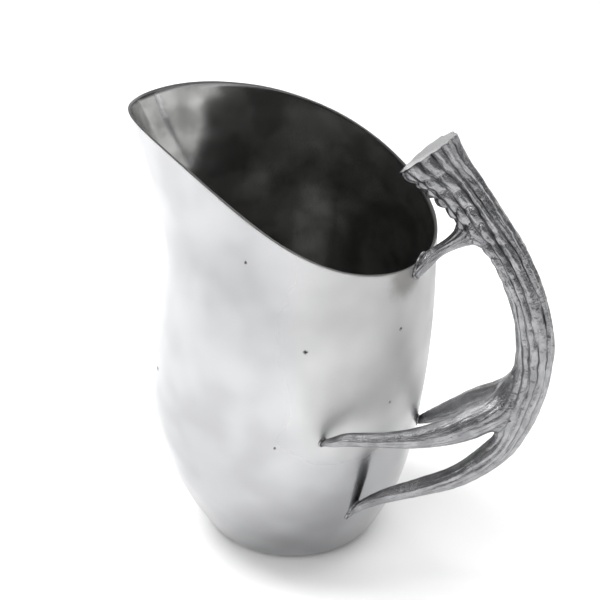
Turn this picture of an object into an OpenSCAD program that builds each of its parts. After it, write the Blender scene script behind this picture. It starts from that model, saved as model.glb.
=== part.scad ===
// Polished cast pitcher with a cast antler handle, in millimetres.
// Origin: centre of the ground base. +Z up, +X towards the handle, -X towards the spout.

/* [Body] */
// Height of the spout's tip above the base
spout_height = 220; // [205:0.5:235]
// Height of the rim's low point, beside the handle
rim_low = 170.5; // [158:0.5:182]
// Rise of the rim's curve as it leaves the handle's side
rim_lift = 16; // [10:0.5:22]
// Height by which the rim's curve is drawn up over the spout's tip
rim_crown = 9.5; // [4:0.5:14]
// Radius of the base, before its edge is rounded
base_radius = 41; // [36:0.5:46]
// Rounding of the edge between the base and the wall
base_round = 8; // [5:0.5:10]
// Reach of the belly on the spout's side
belly_reach = 73; // [66:0.5:80]
// Reach of the neck under the spout
neck_reach = 65.5; // [60:0.5:72]
// Reach of the spout's tip
spout_reach = 87.5; // [80:0.5:96]
// Reach of the wall on the handle's side
back_reach = 70.5; // [64:0.5:78]
// How much further out the wall leans at the top of the handle's side
back_flare = 4; // [0:0.5:6]
// Half of the body's width
side_reach = 71.5; // [64:0.5:78]
// Half of the mouth's width
mouth_reach = 64; // [58:0.5:70]
// Share of its width that the spout loses towards its tip
spout_pinch = 0.36; // [0.1:0.02:0.5]
// Wall thickness at the base
wall = 3.2; // [2.6:0.1:4.5]
// Wall thickness at the rim
rim_wall = 2.2; // [1.6:0.1:2.6]
// Thickness of the floor
floor_thick = 4; // [3:0.5:6]

/* [Antler] */
// Distance from the wall to the middle of the grip
grip_gap = 56.3; // [50:0.5:66]
// Height at which the grip is furthest out
grip_height = 129; // [120:1:138]
// Half of the grip's thickness
grip_radius = 10; // [8.5:0.5:12]
// Height of the burr's middle above the low rim
burr_rise = 54; // [47:1:61]
// Distance that the burr's middle stands in from the wall, over the mouth
burr_overhang = 0.5; // [-4:0.5:5]
// Distance that the burr's middle leans to the front
burr_lean = 3; // [0:0.5:5]
// Half of the burr's length across its sawn face
burr_radius = 18.5; // [16.5:0.5:20.5]
// Depth of the front and rear tines' root below the middle of the grip
fork_drop = 7.5; // [4:0.5:12]
// Distance from the wall to the brow tine's root
brow_root_gap = 27; // [23:0.5:31]
// Height of the brow tine's root above the low rim
brow_root_rise = 26; // [22:0.5:30]
// Angle round the body at which the brow tine meets the rim, from the handle's side
brow_angle = -8; // [-12:1:-2]
// Depth of the brow tine's foot below the rim
brow_drop = 5; // [4:0.5:7]
// Angle round the body of the front tine's foot
front_angle = -51; // [-58:1:-44]
// Height of the front tine's foot
front_height = 88; // [82:1:94]
// Angle round the body of the rear tine's foot
rear_angle = 21; // [14:1:30]
// Height of the rear tine's foot
rear_height = 60; // [54:1:68]
// Angle round the body of the lower tine's foot
lower_angle = -35; // [-42:1:-28]
// Height of the lower tine's foot
lower_height = 34; // [28:1:40]
// Half thickness of the front tine at its root
front_radius = 9; // [7.5:0.5:10]
// Half thickness of the rear tine at its root
rear_radius = 6.8; // [5.6:0.2:8]
// Half thickness of the brow tine at its root
brow_radius = 8.5; // [7:0.5:9.5]
// Half thickness of the brow tine's foot
brow_foot_radius = 3.2; // [2.6:0.1:3.8]
// Half thickness of the other tines where they meet the body
foot_radius = 1.4; // [1.2:0.1:2]
// Width of a dressed weld beside its tine
weld_width = 1.2; // [0.8:0.1:1.6]

/* [Hidden] */

COLUMNS = 64;           // columns of facets round the body
WALL_RINGS = 26;        // rings from the rounded edge to the rim
INNER_RINGS = 20;       // rings from the rim to the floor
ROUND_RINGS = 4;        // rings on the rounded edge
LIP_RINGS = 4;          // steps over the rounded lip
ROD_SIDES = 18;         // sides of a swept tine
WELD_SIDES = 16;        // sides of a weld's collar
ROD_STEP = 5;           // steps between two points of a tine's route
FOOT_BITE = 1.2;        // how far a tine's end runs into the wall before it is cut flush
FORK_INSET = 2.5;       // how far inside the grip's middle the front and rear tines begin

SPAN = spout_height * 1.018;    // height of the highest station, a little over the rim's crest

function mix(a, b, share) = a + (b - a) * share;
function smooth(t) = let (c = min(max(t, 0), 1)) c * c * (3 - 2 * c);

// Control reaches of the three profiles, at even stations from the base to the top.
SPOUT_SIDE = [
    base_radius, mix(base_radius, belly_reach, 0.61), belly_reach, belly_reach,
    mix(belly_reach, neck_reach, 0.92), neck_reach, mix(neck_reach, spout_reach, 0.5), spout_reach
];
HANDLE_SIDE = [
    base_radius, mix(base_radius, back_reach, 0.58), mix(base_radius, back_reach, 0.76),
    mix(base_radius, back_reach, 0.9), back_reach, back_reach, back_reach + back_flare * 0.375,
    back_reach + back_flare
];
FLANK = [
    base_radius, mix(base_radius, side_reach, 0.6), mix(base_radius, side_reach, 0.92),
    side_reach, side_reach, mix(side_reach, mouth_reach, 0.5), mouth_reach, mouth_reach
];
STATIONS = len(SPOUT_SIDE);

// Heights of the four control points of the rim's crest, from the handle to the spout's tip.
RIM = [rim_low, rim_low + rim_lift, spout_height + rim_crown, spout_height];
LIP_ROUND = rim_wall / 2;   // radius of the rounded lip on top of the wall

// A uniform cubic B-spline that starts and ends on its first and last value.
function reach_at(list, z) =
    let (
        s = min(max(z / SPAN * (STATIONS - 1), 0), STATIONS - 1 - 1e-6),
        i = floor(s),
        t = s - i,
        last = STATIONS - 1,
        a = i == 0 ? 2 * list[0] - list[1] : list[i - 1],
        d = i == last - 1 ? 2 * list[last] - list[last - 1] : list[i + 2]
    )
    (a * pow(1 - t, 3) + list[i] * (3 * t * t * t - 6 * t * t + 4)
        + list[i + 1] * (-3 * t * t * t + 3 * t * t + 3 * t + 1) + d * t * t * t) / 6;

// How far the rounded edge draws the wall in at a height.
function edge_inset(z) =
    z >= base_round ? 0 : base_round - sqrt(pow(base_round, 2) - pow(base_round - z, 2));

// 0 beside the handle and 1 at the spout.
function spoutness(angle) = (1 - cos(angle)) / 2;

// Height at which the wall ends and its rounded lip begins.
function rim_at(angle) =
    let (u = spoutness(angle), v = 1 - u)
    RIM[0] * v * v * v + 3 * RIM[1] * u * v * v + 3 * RIM[2] * u * u * v + RIM[3] * u * u * u - LIP_ROUND;

// The point at an angle and a height, drawn in from the outer skin by inset.
function skin(angle, z, inset = 0) =
    let (
        off = edge_inset(z) + inset,
        front = reach_at(SPOUT_SIDE, z) - off,
        back = reach_at(HANDLE_SIDE, z) - off,
        flank = reach_at(FLANK, z) - off,
        u = spoutness(angle),
        pinch = spout_pinch * smooth((z / SPAN - 2 / 7) * 7 / 5) * u * u
    )
    [cos(angle) * mix(back, front, smooth(u)), sin(angle) * flank * (1 - pinch), z];

function wall_at(angle, z) = mix(wall, rim_wall, smooth(z / rim_at(angle)));

function outer_ring(k, angle) =
    k <= ROUND_RINGS
        ? skin(angle, base_round * (1 - cos(90 * k / ROUND_RINGS)))
        : skin(angle, mix(base_round, rim_at(angle), (k - ROUND_RINGS) / WALL_RINGS));

function lip_ring(k, angle) =
    let (turn = 180 * k / LIP_RINGS, p = skin(angle, rim_at(angle), LIP_ROUND * (1 - cos(turn))))
    [p.x, p.y, p.z + LIP_ROUND * sin(turn)];

function inner_ring(k, angle) =
    let (z = mix(rim_at(angle), floor_thick, k / INNER_RINGS))
    skin(angle, z, wall_at(angle, z));

function turn_of(j) = 360 * j / COLUMNS;

OUTER = [for (k = [0:ROUND_RINGS + WALL_RINGS]) [for (j = [0:COLUMNS - 1]) outer_ring(k, turn_of(j))]];
LIP = [for (k = [1:LIP_RINGS - 1]) [for (j = [0:COLUMNS - 1]) lip_ring(k, turn_of(j))]];
INNER = [for (k = [0:INNER_RINGS]) [for (j = [0:COLUMNS - 1]) inner_ring(k, turn_of(j))]];

// A closed solid over a stack of rings with the same number of points, capped flat at both ends.
module ring_stack(rings) {
    n = len(rings[0]);
    last = len(rings) - 1;
    polyhedron(
        points = [for (r = rings) each r],
        faces = concat(
            [[for (j = [0:n - 1]) j]],
            [for (k = [0:last - 1], j = [0:n - 1]) let (m = (j + 1) % n)
                each [[k * n + j, (k + 1) * n + j, (k + 1) * n + m], [k * n + j, (k + 1) * n + m, k * n + m]]],
            [[for (j = [n - 1:-1:0]) last * n + j]]
        )
    );
}

// The body's outer shape with its hollow filled, up to a shallow funnel in the mouth.
module body_plug() {
    funnel = [for (p = INNER[0]) [p.x / 8, p.y / 8, rim_low]];
    ring_stack(concat(OUTER, LIP, [INNER[0], funnel]));
}

// Makes its children one mesh, at their own size.
module one_mesh() {
    resize([0, 0, 0]) children();
}

// Where a tine's route ends, a little inside the wall.
function foot_end(angle, z) = skin(angle, z, FOOT_BITE);

GRIP = [back_reach + grip_gap, 0, grip_height];
BURR = [back_reach - burr_overhang, -burr_lean, rim_low + burr_rise];
FORK = [GRIP.x - FORK_INSET, 0, GRIP.z - fork_drop];
BROW_ROOT = [back_reach + brow_root_gap, 0, rim_low + brow_root_rise];

BROW_END = foot_end(brow_angle, rim_at(brow_angle) - brow_drop);
FRONT_END = foot_end(front_angle, front_height);
REAR_END = foot_end(rear_angle, rear_height);
LOWER_END = foot_end(lower_angle, lower_height);

// A stretch of a tine. Each row is a point on it: its shares of the way between the stretch's two
// ends in x, y and z, then the shares by which its half thickness has changed from the first end's
// to the last end's, in the handle's plane and across it.
function stretch(from, to, first_radius, last_radius, rows) = [
    for (r = rows) [
        mix(from.x, to.x, r[0]), mix(from.y, to.y, r[1]), mix(from.z, to.z, r[2]),
        mix(first_radius, last_radius, r[3]), mix(first_radius, last_radius, r[4])
    ]
];

BEAM = concat(
    stretch(BURR, GRIP, burr_radius, grip_radius, [
        [0, 0, 0, 0, 0.47],
        [0.09, 0.5, 0.06, 0.33, 0.59],
        [0.19, 0.8, 0.125, 0.53, 0.76],
        [0.38, 1, 0.235, 0.74, 0.88],
        [0.71, 1, 0.45, 1.06, 1.06],
        [0.93, 1, 0.72, 1.1, 1.12],
        [1, 1, 1, 1, 1.06]
    ]),
    stretch(GRIP, LOWER_END, grip_radius, foot_radius, [
        [0.04, 0.12, 0.28, 0.06, 0.06],
        [0.115, 0.24, 0.473, 0.3, 0.3],
        [0.24, 0.4, 0.6, 0.4, 0.4],
        [0.39, 0.545, 0.7, 0.51, 0.51],
        [0.56, 0.7, 0.765, 0.6, 0.6],
        [0.75, 0.88, 0.83, 0.71, 0.71],
        [0.885, 0.98, 0.9, 0.83, 0.83],
        [1, 1, 1, 1, 1]
    ])
);

FRONT_TINE = stretch(FORK, FRONT_END, front_radius, foot_radius, [
    [0, 0, 0, 0.26, 0.26],
    [0.1, 0.13, 0.53, 0, 0.2],
    [0.28, 0.385, 0.77, 0.13, 0.33],
    [0.45, 0.655, 0.82, 0.41, 0.5],
    [0.61, 0.855, 0.8, 0.63, 0.63],
    [0.81, 1.02, 0.78, 0.72, 0.72],
    [0.905, 1.05, 0.86, 0.82, 0.82],
    [1, 1, 1, 1, 1]
]);

REAR_TINE = stretch(FORK, REAR_END, rear_radius, foot_radius, [
    [0, 0, 0, 0.06, 0.06],
    [0.16, 0.16, 0.235, 0, 0.06],
    [0.5, 0.52, 0.55, 0.2, 0.24],
    [0.82, 0.84, 0.85, 0.52, 0.52],
    [1, 1, 1, 0.9, 0.9]
]);

BROW_TINE = stretch(BROW_ROOT, BROW_END, brow_radius, brow_foot_radius, [
    [0, 0, 0, 0, 0.09],
    [0.22, 0.02, 0.28, 0.2, 0.26],
    [0.46, 0.2, 0.47, 0.68, 0.61],
    [0.7, 0.5, 0.64, 0.84, 0.75],
    [0.88, 0.83, 0.83, 0.88, 0.75],
    [1, 1, 1, 1, 0.82]
]);

// Catmull-Rom curve through a route's points.
function route_at(p, i, t) =
    let (
        last = len(p) - 1,
        a = i == 0 ? 2 * p[0] - p[1] : p[i - 1],
        b = p[i],
        c = p[i + 1],
        d = i + 2 > last ? 2 * p[last] - p[last - 1] : p[i + 2]
    )
    (2 * b + (c - a) * t + (2 * a - 5 * b + 4 * c - d) * t * t + (3 * b - a - 3 * c + d) * t * t * t) / 2;

function route(p) = [
    for (i = [0:len(p) - 2], k = [0:ROD_STEP - 1]) route_at(p, i, k / ROD_STEP),
    p[len(p) - 1]
];

function place(q) = [q[0], q[1], q[2]];
function unit(v) = v / norm(v);

// One oval section of a swept tine, square to its route.
function section(line, i, sides = ROD_SIDES) =
    let (
        last = len(line) - 1,
        ahead = unit(place(line[min(i + 1, last)]) - place(line[max(i - 1, 0)])),
        plane = unit(cross(ahead, [0, 1, 0])),
        side = cross(ahead, plane)
    )
    [for (j = [0:sides - 1]) let (a = 360 * j / sides)
        place(line[i]) + plane * cos(a) * line[i][3] + side * sin(a) * line[i][4]];

module tine(points) {
    line = route(points);
    ring_stack([for (i = [0:len(line) - 1]) section(line, i)]);
}

module antler_solid() {
    tine(BEAM);
    tine(FRONT_TINE);
    tine(REAR_TINE);
    tine(BROW_TINE);
}

// The last steps of a tine's route, thickened towards its end and carried on past it.
function collar(points, steps) =
    let (
        line = route(points),
        last = len(line) - 1,
        end = line[last],
        past = place(end) + unit(place(end) - place(line[last - 1])) * weld_width
    )
    concat(
        [for (k = [steps:-1:1])
            let (q = (line[last - k] + line[last - k + 1]) / 2, bead = weld_width * (1 - k / (steps + 2)))
            [q[0], q[1], q[2], q[3] + bead, q[4] + bead]],
        [[end[0], end[1], end[2], end[3] + weld_width, end[4] + weld_width]],
        [[past.x, past.y, past.z, end[3] + weld_width / 2, end[4] + weld_width / 2]]
    );

// A dressed fillet weld round the foot of a tine, over the last steps of its route.
module foot_weld(points, steps) {
    line = collar(points, steps);
    one_mesh() difference() {
        ring_stack([for (i = [0:len(line) - 1]) section(line, i, WELD_SIDES)]);
        body_plug();
        antler_solid();
    }
}

module pitcher_body() {
    color("gainsboro") ring_stack(concat(OUTER, LIP, INNER));
}

module antler_handle() {
    color("darkgray") one_mesh() difference() {
        union() antler_solid();
        body_plug();
    }
}

module brow_weld() {
    color("silver") foot_weld(BROW_TINE, steps = 3);
}

module front_weld() {
    color("silver") foot_weld(FRONT_TINE, steps = 2);
}

module rear_weld() {
    color("silver") foot_weld(REAR_TINE, steps = 2);
}

module lower_weld() {
    color("silver") foot_weld(BEAM, steps = 2);
}

pitcher_body();
antler_handle();
brow_weld();
front_weld();
rear_weld();
lower_weld();
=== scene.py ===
"""The looks of a polished cast water pitcher with an antler handle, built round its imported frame.

Sizes are in millimetres, as in the pitcher's own design, and meshes are made in metres. +Z is up,
+X runs from the base's centre towards the handle, and -X towards the spout.
"""

import logging
import math
from dataclasses import dataclass, field, fields
from enum import Enum
from typing import Any, ClassVar, Iterable, Union

import bpy
import numpy as np
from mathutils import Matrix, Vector


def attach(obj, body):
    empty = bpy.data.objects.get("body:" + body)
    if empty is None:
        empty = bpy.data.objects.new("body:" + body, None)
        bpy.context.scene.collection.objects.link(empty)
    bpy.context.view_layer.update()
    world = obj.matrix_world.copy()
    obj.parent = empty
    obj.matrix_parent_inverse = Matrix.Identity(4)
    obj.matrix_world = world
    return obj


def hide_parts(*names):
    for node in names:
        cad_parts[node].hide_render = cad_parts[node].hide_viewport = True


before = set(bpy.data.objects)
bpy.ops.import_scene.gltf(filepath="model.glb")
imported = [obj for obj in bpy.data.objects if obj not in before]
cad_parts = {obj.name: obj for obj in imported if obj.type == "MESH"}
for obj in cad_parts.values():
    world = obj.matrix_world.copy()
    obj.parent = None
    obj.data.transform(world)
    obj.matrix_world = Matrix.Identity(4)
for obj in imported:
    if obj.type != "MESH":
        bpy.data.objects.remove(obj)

MM = 0.001
TURN = 2 * math.pi
BODY = "root"
BRUSH_STRETCH = (0.25, 0.25, 1.6)
BLOTCH_SCALE = 0.11
LOG = logging.getLogger("pitcher")

Colour = tuple[float, float, float]
Place = tuple[float, float, float]


# ---------------------------------------------------------------------------------------------
# Node trees written as arithmetic
# ---------------------------------------------------------------------------------------------


class Value:
    """A number or a vector that a node tree works out, open to ordinary arithmetic."""

    def __init__(self, graph: "Graph", socket: bpy.types.NodeSocket) -> None:
        """Keep the tree and the socket that carries the value.

        Args:
            graph: The tree that the value belongs to.
            socket: The output socket that carries it.
        """
        self.graph = graph
        self.socket = socket

    @property
    def is_vector(self) -> bool:
        """Whether the value has three parts."""
        return self.socket.type in {"VECTOR", "RGBA"}

    @property
    def kind(self) -> str:
        """The value's data type in a Geometry Nodes tree."""
        return "FLOAT_VECTOR" if self.is_vector else "FLOAT"

    def combine(self, operation: str, other: "Operand" = 0.0, swapped: bool = False) -> "Value":
        """Join this value and another with one node of scalar or vector maths.

        Args:
            operation: The node's operation.
            other: The second operand.
            swapped: Whether the other operand comes first.

        Returns:
            The result.
        """
        vector = self.is_vector or isinstance(other, (tuple, Vector))
        vector = vector or (isinstance(other, Value) and other.is_vector)
        kind = "ShaderNodeVectorMath" if vector else "ShaderNodeMath"
        pair = (other, self) if swapped else (self, other)
        return self.graph.value(kind, {0: pair[0], 1: pair[1]}, operation=operation)

    def __add__(self, other: "Operand") -> "Value":
        """Add."""
        return self.combine("ADD", other)

    def __radd__(self, other: "Operand") -> "Value":
        """Add, from the right."""
        return self.combine("ADD", other)

    def __sub__(self, other: "Operand") -> "Value":
        """Subtract."""
        return self.combine("SUBTRACT", other)

    def __rsub__(self, other: "Operand") -> "Value":
        """Subtract, from the right."""
        return self.combine("SUBTRACT", other, swapped=True)

    def __mul__(self, other: "Operand") -> "Value":
        """Multiply."""
        return self.combine("MULTIPLY", other)

    def __rmul__(self, other: "Operand") -> "Value":
        """Multiply, from the right."""
        return self.combine("MULTIPLY", other)

    def __truediv__(self, other: "Operand") -> "Value":
        """Divide."""
        return self.combine("DIVIDE", other)

    def dot(self, other: "Operand") -> "Value":
        """The dot product with another vector."""
        node = self.graph.node("ShaderNodeVectorMath", {0: self, 1: other}, operation="DOT_PRODUCT")
        return Value(self.graph, node.outputs["Value"])

    def cross(self, other: "Operand") -> "Value":
        """The cross product with another vector."""
        return self.graph.value("ShaderNodeVectorMath", {0: self, 1: other}, operation="CROSS_PRODUCT")

    def unit(self) -> "Value":
        """The vector at a length of one."""
        return self.graph.value("ShaderNodeVectorMath", {0: self}, operation="NORMALIZE")

    def size(self) -> "Value":
        """The vector's length."""
        node = self.graph.node("ShaderNodeVectorMath", {0: self}, operation="LENGTH")
        return Value(self.graph, node.outputs["Value"])

    def parts(self) -> tuple["Value", "Value", "Value"]:
        """Split the vector.

        Returns:
            Its x, y and z.
        """
        node = self.graph.node("ShaderNodeSeparateXYZ", {"Vector": self})
        x, y, z = (Value(self.graph, socket) for socket in node.outputs)
        return x, y, z


Number = Union[float, np.ndarray, Value]
Operand = Union[float, tuple, Vector, Value]


class Graph:
    """A node tree that is being built, with short ways to add and join its nodes."""

    def __init__(self, tree: bpy.types.NodeTree) -> None:
        """Start on a tree.

        Args:
            tree: The tree to build in.
        """
        self.tree = tree

    def feed(self, socket: bpy.types.NodeSocket, value: Any) -> None:
        """Link a value into a socket, or set it there when it is a plain one.

        Args:
            socket: The input socket.
            value: A Value, a socket, or a plain value of the socket's kind.
        """
        if isinstance(value, Value):
            self.tree.links.new(value.socket, socket)
        elif isinstance(value, bpy.types.NodeSocket):
            self.tree.links.new(value, socket)
        elif socket.type == "RGBA" and len(value) == 3:
            socket.default_value = (*value, 1.0)
        elif socket.type == "VECTOR" and isinstance(value, (int, float)):
            socket.default_value = (value, value, value)
        else:
            socket.default_value = value

    def node(self, kind: str, inputs: dict[str | int, Any] | None = None, **settings: Any) -> bpy.types.Node:
        """Add a node.

        Args:
            kind: The node's type.
            inputs: What goes into it, by socket name or number.
            settings: Its properties.

        Returns:
            The node.
        """
        node = self.tree.nodes.new(kind)
        for name, setting in settings.items():
            setattr(node, name, setting)
        for key, value in (inputs or {}).items():
            if isinstance(key, int):
                socket = node.inputs[key]
            else:
                socket = next(s for s in node.inputs if s.enabled and s.name == key)
            self.feed(socket, value)
        return node

    def value(self, kind: str, inputs: dict[str | int, Any] | None = None, **settings: Any) -> Value:
        """Add a node and take its first live output.

        Args:
            kind: The node's type.
            inputs: What goes into it, by socket name or number.
            settings: Its properties.

        Returns:
            The node's output.
        """
        node = self.node(kind, inputs, **settings)
        return Value(self, next(s for s in node.outputs if s.enabled))

    def vector(self, x: Operand, y: Operand, z: Operand) -> Value:
        """Join three numbers into a vector."""
        return self.value("ShaderNodeCombineXYZ", {0: x, 1: y, 2: z})

    def noise(self, at: Value, scale: Operand, detail: float = 2.0, roughness: float = 0.5) -> Value:
        """Smooth noise between about 0 and 1.

        Args:
            at: Where it is read.
            scale: How many of its waves fit in a unit.
            detail: How many finer layers it has.
            roughness: How strong the finer layers are.

        Returns:
            The noise.
        """
        inputs = {"Vector": at, "Scale": scale, "Detail": detail, "Roughness": roughness}
        return self.value("ShaderNodeTexNoise", inputs)

    def cells(self, at: Value) -> Value:
        """Distance to the middle of the nearest of some cells, about one apart."""
        return self.value("ShaderNodeTexVoronoi", {"Vector": at, "Scale": 1.0}, feature="F1")


class GeometryGraph(Graph):
    """A Geometry Nodes tree with named inputs, ready to go on an object."""

    def __init__(self, name: str) -> None:
        """Start a tree that takes and gives geometry.

        Args:
            name: The tree's name.
        """
        super().__init__(bpy.data.node_groups.new(name, "GeometryNodeTree"))
        self.tree.interface.new_socket("Geometry", in_out="INPUT", socket_type="NodeSocketGeometry")
        self.tree.interface.new_socket("Geometry", in_out="OUTPUT", socket_type="NodeSocketGeometry")
        self.entry = self.node("NodeGroupInput")
        self.settings: dict[str, Any] = {}

    @property
    def geometry(self) -> Value:
        """The geometry that the object brings."""
        return Value(self, self.entry.outputs[0])

    def input(self, name: str, value: Any, kind: str = "NodeSocketFloat") -> Value:
        """Add a named input.

        Args:
            name: The input's name.
            value: What the modifier sets it to.
            kind: The socket's type.

        Returns:
            The input's value inside the tree.
        """
        item = self.tree.interface.new_socket(name, in_out="INPUT", socket_type=kind)
        self.settings[item.identifier] = value
        return Value(self, next(s for s in self.entry.outputs if s.identifier == item.identifier))

    def sizes(self, rule: Any) -> dict[str, Value]:
        """Add a named input for every size of a rule.

        Args:
            rule: A dataclass of sizes.

        Returns:
            The inputs' values inside the tree, by the sizes' names.
        """
        labels = {item.name: item.name.replace("_", " ").title() for item in fields(rule)}
        return {name: self.input(label, getattr(rule, name)) for name, label in labels.items()}

    def position(self) -> Value:
        """Where each point is."""
        return self.value("GeometryNodeInputPosition")

    def normal(self) -> Value:
        """Which way the surface faces."""
        return self.value("GeometryNodeInputNormal")

    def attribute(self, name: str, kind: str = "FLOAT") -> Value:
        """Read a named attribute."""
        return self.value("GeometryNodeInputNamedAttribute", {"Name": name}, data_type=kind)

    def store(self, geometry: Value, name: str, value: Value) -> Value:
        """Write a named attribute on the points."""
        inputs = {"Geometry": geometry, "Name": name, "Value": value}
        return self.value("GeometryNodeStoreNamedAttribute", inputs, data_type=value.kind, domain="POINT")

    def place(self, geometry: Value, position: Operand) -> Value:
        """Put each point at a position."""
        return self.value("GeometryNodeSetPosition", {"Geometry": geometry, "Position": position})

    def shift(self, geometry: Value, offset: Operand) -> Value:
        """Move each point by an offset."""
        return self.value("GeometryNodeSetPosition", {"Geometry": geometry, "Offset": offset})

    def blur(self, value: Value, iterations: int, weight: Operand = 1.0) -> Value:
        """Even a value out over the neighbouring points."""
        inputs = {"Value": value, "Iterations": iterations, "Weight": weight}
        return self.value("GeometryNodeBlurAttribute", inputs, data_type=value.kind)

    def sample(self, surface: Value, value: Value) -> Value:
        """Read a value at the nearest place on another surface."""
        inputs = {"Mesh": surface, "Value": value}
        return self.value("GeometryNodeSampleNearestSurface", inputs, data_type=value.kind)

    def end(self, geometry: Value, material: bpy.types.Material) -> None:
        """Close the tree: smooth shading, real meshes and the finish.

        Args:
            geometry: The finished geometry.
            material: The finish.
        """
        smooth = self.value("GeometryNodeSetShadeSmooth", {"Geometry": geometry, "Shade Smooth": True})
        real = self.value("GeometryNodeRealizeInstances", {"Geometry": smooth})
        dressed = self.value("GeometryNodeSetMaterial", {"Geometry": real, "Material": material})
        exit_node = self.node("NodeGroupOutput")
        self.feed(exit_node.inputs[0], dressed)

    def bake(self, source: bpy.types.Object, name: str) -> bpy.types.Object:
        """Run the tree on an object and keep the result as a plain mesh.

        Args:
            source: The object that the tree works on.
            name: The new object's name.

        Returns:
            A new object with the finished mesh.
        """
        modifier = source.modifiers.new(self.tree.name, "NODES")
        modifier.node_group = self.tree
        for identifier, value in self.settings.items():
            modifier[identifier] = value
        result = baked(source, name)
        source.modifiers.remove(modifier)
        return result


# ---------------------------------------------------------------------------------------------
# Arithmetic that works on plain numbers, arrays and node values alike
# ---------------------------------------------------------------------------------------------


def least(a: Number, b: Number) -> Number:
    """Take the smaller of two numbers.

    Args:
        a: One number.
        b: The other.

    Returns:
        The smaller one.
    """
    if isinstance(a, Value):
        return a.combine("MINIMUM", b)
    return b.combine("MINIMUM", a) if isinstance(b, Value) else np.minimum(a, b)


def largest(a: Number, b: Number) -> Number:
    """Take the larger of two numbers.

    Args:
        a: One number.
        b: The other.

    Returns:
        The larger one.
    """
    if isinstance(a, Value):
        return a.combine("MAXIMUM", b)
    return b.combine("MAXIMUM", a) if isinstance(b, Value) else np.maximum(a, b)


class Function(Enum):
    """A function of one number: its name as a maths node, and as an array function."""

    SINE = "sin"
    COSINE = "cos"
    SQRT = "sqrt"
    ABSOLUTE = "abs"

    def of(self, a: Number) -> Number:
        """Work the function out."""
        return a.combine(self.name) if isinstance(a, Value) else getattr(np, self.value)(a)


def mix(a: Number, b: Number, share: Number) -> Number:
    """The value a share of the way from one to another."""
    return a + (b - a) * share


def smooth(t: Number) -> Number:
    """An even step from 0 to 1."""
    held = least(largest(t, 0.0), 1.0)
    return held * held * (3.0 - held * 2.0)


def baked(source: bpy.types.Object, name: str) -> bpy.types.Object:
    """Keep an object's evaluated mesh as a new plain object at the origin.

    Args:
        source: The object, with its modifiers live.
        name: The new object's name.

    Returns:
        The new object.
    """
    bpy.context.view_layer.update()
    evaluated = source.evaluated_get(bpy.context.evaluated_depsgraph_get())
    mesh = bpy.data.meshes.new_from_object(evaluated)
    mesh.name = name
    result = bpy.data.objects.new(name, mesh)
    bpy.context.scene.collection.objects.link(result)
    return result


@dataclass(frozen=True)
class Polyline:
    """A line of points in millimetres, with values along it."""

    points: np.ndarray
    values: dict[str, np.ndarray] = field(default_factory=dict)
    closed: bool = False


def line_object(name: str, lines: Iterable[Polyline]) -> bpy.types.Object:
    """Make a mesh of edges from some lines, with their values as attributes.

    Args:
        name: The object's name.
        lines: The lines.

    Returns:
        The object.
    """
    points: list[np.ndarray] = []
    edges: list[tuple[int, int]] = []
    values: dict[str, list[np.ndarray]] = {}
    start = 0
    for line in lines:
        count = len(line.points)
        points.append(line.points * MM)
        edges += [(start + i, start + i + 1) for i in range(count - 1)]
        if line.closed:
            edges.append((start + count - 1, start))
        for key, row in line.values.items():
            values.setdefault(key, []).append(row)
        start += count
    mesh = bpy.data.meshes.new(name)
    mesh.from_pydata(np.concatenate(points).tolist(), edges, [])
    for key, rows in values.items():
        attribute = mesh.attributes.new(key, "FLOAT", "POINT")
        attribute.data.foreach_set("value", np.concatenate(rows).astype(np.float32))
    result = bpy.data.objects.new(name, mesh)
    bpy.context.scene.collection.objects.link(result)
    return result


def drop(scratch: bpy.types.Object) -> None:
    """Delete an object that only helped to make another."""
    bpy.data.objects.remove(scratch)


# ---------------------------------------------------------------------------------------------
# Finishes
# ---------------------------------------------------------------------------------------------


class ShaderGraph(Graph):
    """A material's own tree, from object coordinates to its one principled shader."""

    def __init__(self, name: str) -> None:
        """Start a material.

        Args:
            name: The material's name.
        """
        self.material = bpy.data.materials.new(name)
        self.material.use_nodes = True
        super().__init__(self.material.node_tree)
        self.shader = self.tree.nodes["Principled BSDF"]
        coordinates = self.node("ShaderNodeTexCoord")
        self.at = Value(self, coordinates.outputs["Object"]) * (1 / MM)

    def attribute(self, name: str, output: str = "Fac") -> Value:
        """Read a piece's own attribute."""
        node = self.node("ShaderNodeAttribute", attribute_name=name)
        return Value(self, node.outputs[output])

    def group(self, group: bpy.types.NodeTree, inputs: dict[str, Any]) -> dict[str, Value]:
        """Place a shared effect.

        Args:
            group: The effect's node group.
            inputs: Its inputs by name.

        Returns:
            Its outputs by name.
        """
        node = self.tree.nodes.new("ShaderNodeGroup")
        node.node_tree = group
        for name, value in inputs.items():
            self.feed(node.inputs[name], value)
        return {socket.name: Value(self, socket) for socket in node.outputs}

    def blend(self, share: Value, first: Any, second: Any) -> Value:
        """Mix two colours by a share."""
        node = self.node("ShaderNodeMix", {0: share, 6: first, 7: second}, data_type="RGBA")
        return Value(self, node.outputs[2])

    def bump(self, height: Value, depth: float, strength: float) -> Value:
        """Turn a height into a normal, with the depth that a height of one stands for in millimetres."""
        return self.value("ShaderNodeBump", {"Height": height, "Distance": depth * MM, "Strength": strength})

    def finish(self, **inputs: Any) -> bpy.types.Material:
        """Feed the shader and give the material.

        Args:
            inputs: The shader's inputs, with an underscore for each space.

        Returns:
            The material.
        """
        for name, value in inputs.items():
            self.feed(self.shader.inputs[name.replace("_", " ")], value)
        return self.material


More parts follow.
